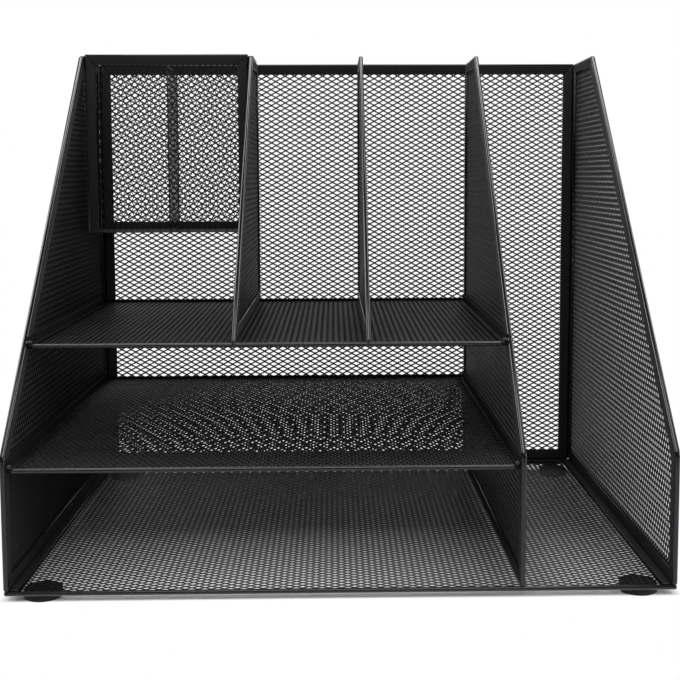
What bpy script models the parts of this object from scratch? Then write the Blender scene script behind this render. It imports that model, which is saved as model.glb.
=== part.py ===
"""Desk organizer of black steel mesh, in metres, +Z up, standing on four rubber feet.

Framed mesh panels make the base, three uprights with a slanted nose, the back, two paper trays and
two dividers. A pen pocket with two cells hangs on the tops of the left upright and the first
divider, and lifts straight out. The origin is under the middle; depth runs from the front to +Y.
"""

import math

import bmesh
import bpy
from mathutils import Matrix, Vector

# Overall size, from the table to the tops of the uprights
WIDTH = 0.400
DEPTH = 0.300
HEIGHT = 0.344

# Outline of the uprights: a short top, a slant down to the nose, and a plumb front edge
TOP_EDGE = 0.065
NOSE_HEIGHT = 0.088

# Places of the inner panels
CENTRE_UPRIGHT_X = 0.1075
FIRST_DIVIDER_X = -0.0675
SECOND_DIVIDER_X = 0.0178
LOWER_TRAY_Z = 0.0804
UPPER_TRAY_Z = 0.146

# Pen pocket: the room under it, how it stands to the uprights, and the hangers that carry it
POCKET_HEADROOM = 0.0622
POCKET_RISE = 0.002
POCKET_SETBACK = 0.001
POCKET_CLEARANCE = 0.0006
HANGER_BACK_SPACE = 0.014
HANGER_DROP = 0.007

# Round wire, folded strip and tray lips; the ends of the trays' wires turn up
WIRE_DIAMETER = 0.003
STRIP_WIDTH = 0.008
STRIP_GAUGE = 0.0005
FOLD_RADIUS = 0.0011
LIP_HEIGHT = 0.006
LIP_WIDTH = 0.006
LIP_GAUGE = 0.0007
WIRE_END_RUN = 0.0045
WIRE_END_RISE = 0.0024

# Mesh sheet: a plain border, and two layers of strands that slant both ways
BORDER_WIDTH = 0.004
STRAND_WIDTH = 0.0016
STRAND_THICKNESS = 0.0004
STRAND_SPACING = 0.0003
BORDER_COVER = 0.0001
MESH_LONG = 0.040
MESH_SHORT = 0.0224
POCKET_MESH_LONG = 0.020
POCKET_MESH_SHORT = 0.0112

# Rubber feet
FOOT_HEIGHT = 0.0046
FOOT_DIAMETER = 0.023
FOOT_ROUNDING = 0.0012

# Space between neighbours
JOINT_GAP = 0.0003

# Fineness of round forms
WIRE_BEVEL_RESOLUTION = 2
BEND_STEPS = 4
ROUNDING_STEPS = 3
FOOT_SIDES = 28
MERGE_DISTANCE = 0.0001

# Sizes that follow from those above
WIRE_RADIUS = WIRE_DIAMETER / 2
BORDER_THICKNESS = 2 * (STRAND_THICKNESS + BORDER_COVER) + STRAND_SPACING
STRIP_MOUTH = BORDER_THICKNESS + 2 * JOINT_GAP
FRAME_THICKNESS = STRIP_MOUTH + 2 * STRIP_GAUGE
PANEL_THICKNESS = max(FRAME_THICKNESS, WIRE_DIAMETER)
BASE_Z = FOOT_HEIGHT + JOINT_GAP + PANEL_THICKNESS / 2
UPRIGHT_FOOT_Z = BASE_Z + PANEL_THICKNESS / 2 + JOINT_GAP
POCKET_FLOOR_Z = UPPER_TRAY_Z + POCKET_HEADROOM
INNER_BACK = DEPTH - PANEL_THICKNESS - JOINT_GAP
SIDE_X = (WIDTH - PANEL_THICKNESS) / 2
INNER_SIDE_X = SIDE_X - PANEL_THICKNESS / 2 - JOINT_GAP
TOP_FRONT = DEPTH - TOP_EDGE

# Turns from a panel's own plane to the room
FLAT = (0.0, 0.0, 0.0)
FACING_FRONT = (math.pi / 2, 0.0, 0.0)
FACING_SIDE = (math.pi / 2, 0.0, math.pi / 2)


def clear_scene():
    """Remove every object of the open scene."""
    for item in list(bpy.data.objects):
        bpy.data.objects.remove(item, do_unlink=True)


def new_collection(name):
    """Return a new collection linked to the scene."""
    collection = bpy.data.collections.new(name)
    bpy.context.scene.collection.children.link(collection)
    return collection


def new_material(name, colour, roughness, metallic):
    """Return a material with one Principled surface."""
    material = bpy.data.materials.new(name)
    material.use_nodes = True
    surface = material.node_tree.nodes["Principled BSDF"]
    surface.inputs["Base Color"].default_value = (*colour, 1.0)
    surface.inputs["Roughness"].default_value = roughness
    surface.inputs["Metallic"].default_value = metallic
    return material


clear_scene()
PARTS = new_collection("mesh_desk_organizer")
CUTTERS = new_collection("mesh_strands")
COAT_ON_MESH = new_material("black_coat_on_mesh", (0.011, 0.011, 0.012), 0.5, 0.0)
COAT_ON_STRIP = new_material("black_coat_on_strip", (0.010, 0.010, 0.011), 0.42, 0.0)
COAT_ON_WIRE = new_material("black_coat_on_wire", (0.012, 0.012, 0.013), 0.36, 0.0)
RUBBER = new_material("black_rubber", (0.009, 0.009, 0.009), 0.75, 0.0)


def new_anchor(name, parent, location, turn):
    """Return an empty that carries the pieces of one sub-assembly."""
    anchor = bpy.data.objects.new(name, None)
    anchor.empty_display_size = STRIP_WIDTH
    anchor.parent = parent
    anchor.location = location
    anchor.rotation_euler = turn
    PARTS.objects.link(anchor)
    return anchor


def add_piece(name, data, anchor, material):
    """Return a new object on its anchor, with its material."""
    piece = bpy.data.objects.new(name, data)
    piece.parent = anchor
    data.materials.append(material)
    PARTS.objects.link(piece)
    return piece


def mesh_from(bm, name):
    """Return a mesh made of the faces of a bmesh, facing outwards."""
    bmesh.ops.recalc_face_normals(bm, faces=bm.faces)
    if bm.calc_volume(signed=True) < 0:
        bmesh.ops.reverse_faces(bm, faces=bm.faces)
    mesh = bpy.data.meshes.new(name)
    bm.to_mesh(mesh)
    bm.free()
    return mesh


def rectangle(left, right, low, high):
    """Return the corners of a rectangle, counter-clockwise from the lower left."""
    return [Vector((left, low)), Vector((right, low)), Vector((right, high)), Vector((left, high))]


def edge_axes(outline, index):
    """Return the direction of an outline's edge and the direction inwards from it."""
    along = (outline[(index + 1) % len(outline)] - outline[index]).normalized()
    return along, Vector((-along.y, along.x))


def inset(outline, distances):
    """Return a convex outline with each edge moved inwards by its own distance."""
    corners = []
    for index, corner in enumerate(outline):
        before, inward_before = edge_axes(outline, index - 1)
        after, inward_after = edge_axes(outline, index)
        step = inward_after * distances[index] - inward_before * distances[index - 1]
        slide = step.cross(after) / before.cross(after)
        corners.append(corner + inward_before * distances[index - 1] + before * slide)
    return corners


def stretch_inside(outline, point, direction):
    """Return the two ends of an endless line's stretch inside a convex outline, or None."""
    low = -math.inf
    high = math.inf
    for index, corner in enumerate(outline):
        inward = edge_axes(outline, index)[1]
        rate = inward.dot(direction)
        cut = inward.dot(corner - point) / rate
        if rate > 0:
            low = max(low, cut)
        else:
            high = min(high, cut)
    if high - low < 2 * BORDER_WIDTH:
        return None
    return point + direction * low, point + direction * high


def strand_lines(outline, long_step, short_step, upright):
    """Yield the layer, 1 or -1, and both ends of each strand of the diamond mesh in an outline."""
    across = [corner.x for corner in outline]
    down = [corner.y for corner in outline]
    middle = Vector((min(across) + max(across), min(down) + max(down))) / 2
    reach = max((corner - middle).length for corner in outline)
    step = Vector((0.0, long_step)) if upright else Vector((long_step, 0.0))
    rows = math.ceil(reach / long_step + reach / short_step)
    for layer in (1, -1):
        lean = layer * short_step
        slant = Vector((lean, long_step)) if upright else Vector((long_step, lean))
        for row in range(-rows, rows + 1):
            ends = stretch_inside(outline, middle + step * (row + 0.5), slant.normalized())
            if ends:
                yield layer, *ends


def add_mesh_sheet(name, anchor, outline, upright, long_step=MESH_LONG, short_step=MESH_SHORT):
    """Return a mesh sheet: a flat border with slanting strands joined to it."""
    bm = bmesh.new()
    face = bm.faces.new([bm.verts.new((*corner, 0.0)) for corner in outline])
    face.normal_update()
    bmesh.ops.inset_region(
        bm, faces=[face], thickness=BORDER_WIDTH, use_boundary=True, use_even_offset=True
    )
    bmesh.ops.delete(bm, geom=[face], context="FACES")
    sheet = add_piece(name, mesh_from(bm, name), anchor, COAT_ON_MESH)
    thicken = sheet.modifiers.new("border thickness", "SOLIDIFY")
    thicken.thickness = BORDER_THICKNESS
    thicken.offset = 0.0

    bm = bmesh.new()
    layer_height = (STRAND_SPACING + STRAND_THICKNESS) / 2
    anchored = inset(outline, [BORDER_WIDTH / 2] * len(outline))
    for layer, start, end in strand_lines(anchored, long_step, short_step, upright):
        run = end - start
        place = Matrix.LocRotScale(
            Vector((*((start + end) / 2), layer * layer_height)),
            Matrix.Rotation(math.atan2(run.y, run.x), 3, "Z"),
            Vector((run.length, STRAND_WIDTH, STRAND_THICKNESS)),
        )
        bmesh.ops.create_cube(bm, size=1.0, matrix=place)
    strands = bpy.data.objects.new(name + "_strands", mesh_from(bm, name + "_strands"))
    strands.parent = anchor
    strands.hide_render = True
    strands.display_type = "WIRE"
    CUTTERS.objects.link(strands)
    weave = sheet.modifiers.new("strands", "BOOLEAN")
    weave.operation = "UNION"
    weave.object = strands
    return sheet


def add_swept(name, anchor, sections, material):
    """Return a solid that runs through flat sections with like corners."""
    bm = bmesh.new()
    face = bm.faces.new([bm.verts.new(point) for point in sections[0]])
    for before, section in zip(sections, sections[1:]):
        grown = bmesh.ops.extrude_face_region(bm, geom=[face])["geom"]
        if before is not sections[0]:
            bmesh.ops.delete(bm, geom=[face], context="FACES_ONLY")
        face = next(item for item in grown if isinstance(item, bmesh.types.BMFace))
        for vertex in face.verts:
            corner = min(range(len(before)), key=lambda i: (before[i] - vertex.co).length)
            vertex.co = section[corner]
    return add_piece(name, mesh_from(bm, name), anchor, material)


def quarter_turns():
    """Return the angles from nothing to a right angle that round off a corner."""
    return [math.pi / 2 * step / ROUNDING_STEPS for step in range(ROUNDING_STEPS + 1)]


def strip_profile():
    """Return the folded strip's section: inwards from its rounded fold, and across the sheet."""
    outer = FRAME_THICKNESS / 2
    mouth = STRIP_MOUTH / 2
    half = [(STRIP_GAUGE, mouth), (STRIP_WIDTH, mouth), (STRIP_WIDTH, outer)]
    for turn in quarter_turns():
        half.append((FOLD_RADIUS * (1 - math.sin(turn)), outer - FOLD_RADIUS * (1 - math.cos(turn))))
    return half + [(way_in, -height) for way_in, height in reversed(half)]


def lip_profile():
    """Return a tray lip's section: a leg under the sheet and a leg turned up at its edge."""
    seat = BORDER_THICKNESS / 2 + JOINT_GAP
    return [
        (0.0, -seat - LIP_GAUGE),
        (LIP_WIDTH, -seat - LIP_GAUGE),
        (LIP_WIDTH, -seat),
        (LIP_GAUGE, -seat),
        (LIP_GAUGE, LIP_HEIGHT),
        (0.0, LIP_HEIGHT),
    ]


# What each kind of edge takes from the panel's outline, up to the sheet and up to its neighbour
SHEET_INSET = {
    "strip": STRIP_GAUGE + JOINT_GAP,
    "lip": LIP_GAUGE + JOINT_GAP,
    "wire": WIRE_DIAMETER + JOINT_GAP,
    "plain": 0.0,
}
EDGE_PROFILE = {"strip": strip_profile(), "lip": lip_profile()}


def sheet_outline(outline, kinds):
    """Return the outline of the sheet inside a panel's edges."""
    return inset(outline, [SHEET_INSET[kind] for kind in kinds])


def end_cut(along, inward, neighbour_inward, kind, neighbour_kind):
    """Return how far an edge piece stays from its corner, and how that grows with the way inwards."""
    rate = neighbour_inward.dot(along)
    lean = neighbour_inward.dot(inward)
    if kind == neighbour_kind:
        return JOINT_GAP / rate, (1 - lean) / rate
    return SHEET_INSET[neighbour_kind] / rate, -lean / rate


def add_edge_piece(name, anchor, outline, kinds, first, last):
    """Return the strip or lip on one edge, or on edges in a row with a mitred bend between them.

    Its ends are mitred to neighbours of its own kind, and cut along other neighbours.
    """
    kind = kinds[first]
    profile = EDGE_PROFILE[kind]
    following = (last + 1) % len(outline)
    along, inward = edge_axes(outline, first)
    start, start_growth = end_cut(along, inward, edge_axes(outline, first - 1)[1], kind, kinds[first - 1])
    near_end = []
    for way_in, height in profile:
        near = outline[first] + inward * way_in + along * (start + start_growth * way_in)
        near_end.append(Vector((*near, height)))
    sections = [near_end]
    for corner in range(first + 1, last + 1):
        bend = [(inset(outline, [way_in] * len(outline))[corner], height) for way_in, height in profile]
        sections.append([Vector((*point, height)) for point, height in bend])
    along, inward = edge_axes(outline, last)
    end, end_growth = end_cut(-along, inward, edge_axes(outline, following)[1], kind, kinds[following])
    far_end = []
    for way_in, height in profile:
        far = outline[following] + inward * way_in - along * (end + end_growth * way_in)
        far_end.append(Vector((*far, height)))
    sections.append(far_end)
    return add_swept(name, anchor, sections, COAT_ON_STRIP)


def bent(points, bend_radius):
    """Return a path with each inner corner replaced by a short bend."""
    path = [points[0]]
    for before, corner, after in zip(points, points[1:], points[2:]):
        arriving = (corner - before).normalized()
        leaving = (after - corner).normalized()
        reach = bend_radius * math.tan(arriving.angle(leaving) / 2)
        first = corner - arriving * reach
        last = corner + leaving * reach
        for step in range(BEND_STEPS + 1):
            share = step / BEND_STEPS
            path.append(first.lerp(corner, share).lerp(corner.lerp(last, share), share))
    return [*path, points[-1]]


def add_wire(name, anchor, points, shares):
    """Return a round wire along a path of points, with its share of the full radius at each."""
    curve = bpy.data.curves.new(name, "CURVE")
    curve.dimensions = "3D"
    curve.bevel_depth = WIRE_RADIUS
    curve.bevel_resolution = WIRE_BEVEL_RESOLUTION
    curve.use_fill_caps = True
    spline = curve.splines.new("POLY")
    spline.points.add(len(points) - 1)
    for target, point, share in zip(spline.points, points, shares):
        target.co = (*point, 1.0)
        target.radius = share
    return add_piece(name, curve, anchor, COAT_ON_WIRE)


def add_framed_panel(name, anchor, outline, edges, upright):
    """Build a mesh sheet with its strips or lips.

    Each edge of the outline has a name and a kind, and edges of one name are one piece. Wired edges
    only make room in the sheet: their wires are added by the caller.
    """
    names = [edge for edge, kind in edges]
    kinds = [kind for edge, kind in edges]
    add_mesh_sheet(name + "_mesh", anchor, sheet_outline(outline, kinds), upright)
    for edge, kind in dict(edges).items():
        if kind in EDGE_PROFILE:
            first = names.index(edge)
            last = first + names.count(edge) - 1
            add_edge_piece(f"{name}_{edge}_{kind}", anchor, outline, kinds, first, last)


def slant_depth(height):
    """Return how far behind the front the slanted edge lies at a height."""
    return TOP_FRONT * max(0.0, height - NOSE_HEIGHT) / (HEIGHT - NOSE_HEIGHT)


def build_base(root):
    """Build the floor with its round-ended front wire, its three strips and the four feet."""
    anchor = new_anchor("base", root, (0.0, 0.0, BASE_Z), FLAT)
    outline = rectangle(-WIDTH / 2, WIDTH / 2, 0.0, DEPTH)
    edges = [("front", "wire"), ("right", "strip"), ("back", "strip"), ("left", "strip")]
    add_framed_panel("base", anchor, outline, edges, upright=False)

    turns = quarter_turns()[1:]
    places = [WIDTH / 2 - WIRE_RADIUS * (math.cos(turns[0]) - math.cos(turn)) for turn in turns]
    shares = [math.sin(turn) for turn in turns]
    across = [-place for place in places] + places[::-1]
    points = [Vector((place, WIRE_RADIUS, 0.0)) for place in across]
    add_wire("base_front_wire", anchor, points, shares + shares[::-1])

    foot_x = WIDTH / 2 - STRIP_WIDTH - JOINT_GAP - FOOT_DIAMETER / 2
    front_y = WIRE_DIAMETER + JOINT_GAP + FOOT_DIAMETER / 2
    back_y = DEPTH - STRIP_WIDTH - JOINT_GAP - FOOT_DIAMETER / 2
    for row, depth in (("front", front_y), ("back", back_y)):
        for side, place in (("left", -foot_x), ("right", foot_x)):
            add_foot(f"foot_{row}_{side}", root, (place, depth, 0.0))


def add_foot(name, root, location):
    """Return a turned rubber foot whose top meets the underside of the floor's mesh."""
    radius = FOOT_DIAMETER / 2
    top = BASE_Z - BORDER_THICKNESS / 2 - JOINT_GAP
    profile = [(0.0, top), (radius, top)]
    for turn in quarter_turns():
        out = radius - FOOT_ROUNDING * (1 - math.cos(turn))
        profile.append((out, FOOT_ROUNDING * (1 - math.sin(turn))))
    profile.append((0.0, 0.0))
    mesh = bpy.data.meshes.new(name)
    edges = [(index, index + 1) for index in range(len(profile) - 1)]
    mesh.from_pydata([(out, 0.0, height) for out, height in profile], edges, [])
    foot = add_piece(name, mesh, root, RUBBER)
    foot.location = location
    turned = foot.modifiers.new("turned", "SCREW")
    turned.steps = FOOT_SIDES
    turned.render_steps = FOOT_SIDES
    turned.use_merge_vertices = True
    turned.merge_threshold = MERGE_DISTANCE
    return foot


def build_upright(name, root, across, back):
    """Build one upright: a mesh and its strips, the front one bent at the nose."""
    anchor = new_anchor(name, root, (across, 0.0, 0.0), FACING_SIDE)
    outline = [
        Vector((0.0, UPRIGHT_FOOT_Z)),
        Vector((back, UPRIGHT_FOOT_Z)),
        Vector((back, HEIGHT)),
        Vector((TOP_FRONT, HEIGHT)),
        Vector((0.0, NOSE_HEIGHT)),
    ]
    edges = [(edge, "strip") for edge in ("bottom", "back", "top", "front", "front")]
    add_framed_panel(name, anchor, outline, edges, upright=True)


def build_back(root):
    """Build the back panel, framed all round by strips, between the outer uprights."""
    anchor = new_anchor("back_panel", root, (0.0, DEPTH - PANEL_THICKNESS / 2, 0.0), FACING_FRONT)
    outline = rectangle(-INNER_SIDE_X, INNER_SIDE_X, UPRIGHT_FOOT_Z, HEIGHT)
    edges = [(edge, "strip") for edge in ("bottom", "right", "top", "left")]
    add_framed_panel("back_panel", anchor, outline, edges, upright=False)


def build_tray(name, root, height):
    """Build a tray between the left and centre uprights, with lips and a front wire."""
    anchor = new_anchor(name, root, (0.0, 0.0, height), FLAT)
    left = -INNER_SIDE_X
    right = CENTRE_UPRIGHT_X - PANEL_THICKNESS / 2 - JOINT_GAP
    front = slant_depth(height)
    outline = rectangle(left, right, front, INNER_BACK)
    edges = [("front", "wire"), ("right", "lip"), ("back", "lip"), ("left", "lip")]
    add_framed_panel(name, anchor, outline, edges, upright=False)
    middle = front + WIRE_RADIUS
    path = [
        Vector((left + WIRE_RADIUS, middle, WIRE_END_RISE)),
        Vector((left + WIRE_RADIUS + WIRE_END_RUN, middle, 0.0)),
        Vector((right - WIRE_RADIUS - WIRE_END_RUN, middle, 0.0)),
        Vector((right - WIRE_RADIUS, middle, WIRE_END_RISE)),
    ]
    points = bent(path, WIRE_DIAMETER)
    add_wire(name + "_front_wire", anchor, points, [1.0] * len(points))


def build_divider(name, root, across):
    """Build a divider that stands on the upper tray and follows the slant of the uprights."""
    anchor = new_anchor(name, root, (across, 0.0, 0.0), FACING_SIDE)
    foot = UPPER_TRAY_Z + max(WIRE_RADIUS, BORDER_THICKNESS / 2) + JOINT_GAP
    back = INNER_BACK - LIP_GAUGE - JOINT_GAP
    outline = [
        Vector((slant_depth(foot), foot)),
        Vector((back, foot)),
        Vector((back, HEIGHT)),
        Vector((TOP_FRONT, HEIGHT)),
    ]
    edges = [(edge, "strip") for edge in ("bottom", "back", "top", "front")]
    add_framed_panel(name, anchor, outline, edges, upright=True)


def build_pocket(root):
    """Build the pen pocket: framed front, floor with a back lip, partition and two hangers."""
    left = POCKET_CLEARANCE - INNER_SIDE_X
    right = FIRST_DIVIDER_X - PANEL_THICKNESS / 2 - JOINT_GAP - POCKET_CLEARANCE
    front = TOP_FRONT + POCKET_SETBACK
    back = INNER_BACK - POCKET_CLEARANCE
    top = HEIGHT + POCKET_RISE
    floor_top = POCKET_FLOOR_Z + BORDER_THICKNESS / 2 + JOINT_GAP
    behind_front = front + PANEL_THICKNESS + JOINT_GAP
    pocket = new_anchor("pen_pocket", root, (0.0, 0.0, POCKET_FLOOR_Z), FLAT)

    place = (0.0, front + PANEL_THICKNESS / 2, -POCKET_FLOOR_Z)
    anchor = new_anchor("pocket_front", pocket, place, FACING_FRONT)
    outline = rectangle(left, right, floor_top, top)
    kinds = ["plain", "strip", "strip", "strip"]
    sheet = sheet_outline(outline, kinds)
    add_mesh_sheet("pocket_front_mesh", anchor, sheet, True, POCKET_MESH_LONG, POCKET_MESH_SHORT)
    for index, edge in enumerate(("right", "top", "left"), start=1):
        add_edge_piece(f"pocket_{edge}_strip", anchor, outline, kinds, index, index)

    anchor = new_anchor("pocket_floor", pocket, (0.0, 0.0, 0.0), FLAT)
    outline = rectangle(left, right, front, back)
    kinds = ["plain", "plain", "lip", "plain"]
    sheet = sheet_outline(outline, kinds)
    add_mesh_sheet("pocket_floor_mesh", anchor, sheet, False, POCKET_MESH_LONG, POCKET_MESH_SHORT)
    back_edge = kinds.index("lip")
    add_edge_piece("pocket_back_lip", anchor, outline, kinds, back_edge, back_edge)

    middle = (left + right) / 2
    anchor = new_anchor("pocket_partition", pocket, (middle, 0.0, -POCKET_FLOOR_Z), FACING_SIDE)
    sheet = rectangle(behind_front, back - LIP_GAUGE - JOINT_GAP, floor_top, top - STRIP_WIDTH)
    add_mesh_sheet("pocket_partition_mesh", anchor, sheet, True, POCKET_MESH_LONG, POCKET_MESH_SHORT)

    seat = HEIGHT + JOINT_GAP - POCKET_FLOOR_Z
    far_from_left = -WIDTH / 2
    far_from_right = FIRST_DIVIDER_X + PANEL_THICKNESS / 2
    for side, edge, far_edge in (("left", left, far_from_left), ("right", right, far_from_right)):
        inside = edge + math.copysign(LIP_GAUGE, edge - far_edge)
        section = [
            (far_edge, seat),
            (far_edge, seat + LIP_GAUGE),
            (inside, seat + LIP_GAUGE),
            (inside, seat - HANGER_DROP),
            (edge, seat - HANGER_DROP),
            (edge, seat),
        ]
        near_end = [Vector((across, behind_front, height)) for across, height in section]
        far_end = [Vector((across, back - HANGER_BACK_SPACE, height)) for across, height in section]
        add_swept(f"pocket_{side}_hanger", pocket, [near_end, far_end], COAT_ON_STRIP)


def main():
    """Build the organizer, from the base up."""
    root = new_anchor("organizer", None, (0.0, -DEPTH / 2, 0.0), FLAT)
    build_base(root)
    build_upright("left_upright", root, -SIDE_X, DEPTH)
    build_upright("centre_upright", root, CENTRE_UPRIGHT_X, INNER_BACK)
    build_upright("right_upright", root, SIDE_X, DEPTH)
    build_back(root)
    build_tray("lower_tray", root, LOWER_TRAY_Z)
    build_tray("upper_tray", root, UPPER_TRAY_Z)
    build_divider("divider_1", root, FIRST_DIVIDER_X)
    build_divider("divider_2", root, SECOND_DIVIDER_X)
    build_pocket(root)


main()
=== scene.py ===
"""A black steel mesh desk organizer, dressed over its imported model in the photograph's view."""
import logging
import math
from contextlib import contextmanager
from dataclasses import dataclass
from enum import Enum
from itertools import compress
from typing import Any, Callable, Iterable, Iterator, Optional, Sequence, Union

import bmesh
import bpy
import numpy as np
from mathutils import Matrix, Vector


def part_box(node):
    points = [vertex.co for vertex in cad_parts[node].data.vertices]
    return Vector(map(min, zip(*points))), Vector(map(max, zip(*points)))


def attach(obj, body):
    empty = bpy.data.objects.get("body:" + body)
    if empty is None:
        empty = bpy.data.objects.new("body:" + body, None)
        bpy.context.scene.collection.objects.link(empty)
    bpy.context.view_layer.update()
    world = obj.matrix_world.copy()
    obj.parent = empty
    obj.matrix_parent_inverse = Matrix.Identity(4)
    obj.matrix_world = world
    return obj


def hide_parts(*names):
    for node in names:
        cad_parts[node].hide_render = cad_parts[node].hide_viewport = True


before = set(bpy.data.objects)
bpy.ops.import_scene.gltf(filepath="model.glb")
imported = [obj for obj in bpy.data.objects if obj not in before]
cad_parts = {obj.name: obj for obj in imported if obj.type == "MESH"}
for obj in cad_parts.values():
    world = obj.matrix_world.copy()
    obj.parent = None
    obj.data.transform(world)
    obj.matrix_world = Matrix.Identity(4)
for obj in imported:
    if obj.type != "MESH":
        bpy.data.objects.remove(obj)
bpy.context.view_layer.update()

LOG = logging.getLogger("organizer")

MM = 0.001
# Corners closer than this are one corner
MERGE = 1e-5
# Faces that meet at less than this angle are one flat face
FLAT = math.radians(0.5)
# A face looks along an axis if its normal has this share of it
FACING = 0.9
# The mark on the flat leaves of folded strips
LEAF = "leaf"

Pair = tuple[float, float]
Triple = tuple[float, float, float]
Colour = tuple[float, float, float, float]
Piece = bpy.types.Object
Shape = bmesh.types.BMesh
Socket = Union[int, str]
Test = Callable[[Vector, Vector], bool]
Value = Union["Signal", float, Sequence[float]]


class Body(Enum):
    """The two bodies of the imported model."""

    FRAME = "frame"
    POCKET = "pen_pocket"


class Finish(Enum):
    """The organizer's finishes, each with its slot in the record."""

    MESH = ("mesh powder coat", "mesh_coat")
    STRIP = ("strip powder coat", "strip_coat")
    LIP = ("lip powder coat", "strip_coat")
    WIRE = ("wire powder coat", "wire_coat")
    FOOT = ("foot rubber", "foot_rubber")

    @property
    def title(self) -> str:
        """The material's name."""
        return self.value[0]

    @property
    def slot(self) -> str:
        """The record's slot."""
        return self.value[1]


class Pick(Enum):
    """What edit mode selects."""

    CORNERS = "VERT"
    EDGES = "EDGE"
    FACES = "FACE"


class Lay(Enum):
    """How a sheet lies: the world axes of its diamonds' long way and short way."""

    WALL_ACROSS = ((1, 0, 0), (0, 0, 1))
    FLOOR_ACROSS = ((1, 0, 0), (0, 1, 0))
    SIDE_UPRIGHT = ((0, 0, 1), (0, 1, 0))
    WALL_UPRIGHT = ((0, 0, 1), (1, 0, 0))
    FLOOR_INWARD = ((0, 1, 0), (1, 0, 0))

    @property
    def axes(self) -> tuple[Vector, Vector, Vector]:
        """The long way, the short way and the normal."""
        long_way, short_way = (Vector(axis) for axis in self.value)
        return long_way, short_way, long_way.cross(short_way)


# Bench work: Blender's modelling operators, with nothing else selected


def clear_bench() -> None:
    """Leaves edit mode and deselects every object."""
    active = bpy.context.view_layer.objects.active
    if active is not None and active.mode != "OBJECT":
        bpy.ops.object.mode_set(mode="OBJECT")
    bpy.ops.object.select_all(action="DESELECT")


def take_up(piece: Piece) -> None:
    """Selects one piece alone and makes it the active one."""
    clear_bench()
    piece.select_set(True)
    bpy.context.view_layer.objects.active = piece


@contextmanager
def editing(piece: Piece, mode: Pick) -> Iterator[None]:
    """Opens a piece in edit mode with nothing selected, and closes it at the end.

    Args:
        piece: The object to edit.
        mode: What is to be selected in it.
    """
    take_up(piece)
    bpy.ops.object.mode_set(mode="EDIT")
    bpy.ops.mesh.select_mode(type=mode.value)
    bpy.ops.mesh.select_all(action="DESELECT")
    yield
    bpy.ops.object.mode_set(mode="OBJECT")


def choose(mode: Pick, find: Callable[[Shape], Iterable[Any]]) -> None:
    """Selects what is found in the piece that is open in edit mode, and deselects the rest.

    Args:
        mode: Whether corners, edges or faces are selected.
        find: Takes the open shape and gives the items to select.
    """
    mesh = bpy.context.edit_object.data
    shape = bmesh.from_edit_mesh(mesh)
    bpy.ops.mesh.select_mode(type=mode.value)
    bpy.ops.mesh.select_all(action="DESELECT")
    for item in find(shape):
        item.select_set(True)
    shape.select_flush_mode()
    bmesh.update_edit_mesh(mesh)


def pick(mode: Pick, wanted: Test) -> None:
    """Selects what answers a test in the piece that is open in edit mode, and deselects the rest.

    Args:
        mode: Whether corners, edges or faces are tested.
        wanted: Takes the place and the normal, or for an edge its middle and its direction.
    """

    def answering(shape: Shape) -> list[Any]:
        """The items that answer the test."""
        if mode is Pick.FACES:
            return [face for face in shape.faces if wanted(face.calc_center_median(), face.normal)]
        if mode is Pick.CORNERS:
            return [corner for corner in shape.verts if wanted(corner.co, corner.normal)]
        ends = ((edge, *(corner.co for corner in edge.verts)) for edge in shape.edges)
        return [edge for edge, a, b in ends if wanted((a + b) / 2, (b - a).normalized())]

    choose(mode, answering)


def made(name: str) -> Piece:
    """Names the primitive that was just added and puts its place into its mesh.

    Args:
        name: The piece's name.

    Returns:
        The piece.
    """
    piece = bpy.context.object
    piece.name = name
    piece.data.name = name
    bpy.ops.object.transform_apply(location=True, rotation=True, scale=True)
    return piece


def finish_with(piece: Piece, kind: str, **settings: Any) -> None:
    """Adds a modifier to a piece and applies it.

    Args:
        piece: The object to finish.
        kind: The modifier's type.
        settings: The modifier's values by name.
    """
    take_up(piece)
    modifier = piece.modifiers.new(kind.title(), kind)
    for key, value in settings.items():
        setattr(modifier, key, value)
    bpy.ops.object.modifier_apply(modifier=modifier.name)


def pick_all() -> None:
    """Selects the whole of the open piece."""
    bpy.ops.mesh.select_all(action="SELECT")


def merge_doubles() -> None:
    """Selects the whole of the open piece and merges corners that lie together."""
    pick_all()
    bpy.ops.mesh.remove_doubles(threshold=MERGE)


def make_whole(piece: Piece) -> None:
    """Merges a closed piece's doubles and turns its faces outwards."""
    with editing(piece, Pick.CORNERS):
        merge_doubles()
        bpy.ops.mesh.normals_make_consistent(inside=False)
        if bmesh.from_edit_mesh(piece.data).calc_volume(signed=True) < 0:
            bpy.ops.mesh.flip_normals()


def smooth(piece: Piece, degrees: float) -> None:
    """Shades a piece smooth, but for edges sharper than an angle."""
    take_up(piece)
    bpy.ops.object.shade_smooth_by_angle(angle=math.radians(degrees))


def round_edges(piece: Piece, width: float, steps: int, degrees: float) -> None:
    """Rounds the edges of a piece that are sharper than an angle."""
    settings = {"width": width, "segments": steps, "angle_limit": math.radians(degrees)}
    finish_with(piece, "BEVEL", limit_method="ANGLE", **settings)


def join(piece: Piece, other: Piece) -> None:
    """Joins a second piece into the first."""
    take_up(piece)
    other.select_set(True)
    bpy.ops.object.join()


def copy_of(node: str) -> Piece:
    """Copies a CAD node with its mesh, merges it and makes its flat faces whole.

    Args:
        node: The CAD node's name.

    Returns:
        The copy.
    """
    piece = bpy.data.objects.new(f"dressed_{node}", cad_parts[node].data.copy())
    bpy.context.scene.collection.objects.link(piece)
    piece.data.materials.clear()
    with editing(piece, Pick.CORNERS):
        merge_doubles()
        bpy.ops.mesh.dissolve_limited(angle_limit=FLAT)
    return piece


def node_points(node: str) -> np.ndarray:
    """The corners of a CAD node at rest, one row each."""
    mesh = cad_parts[node].data
    flat = np.empty(len(mesh.vertices) * 3)
    mesh.vertices.foreach_get("co", flat)
    return flat.reshape(-1, 3)


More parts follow.
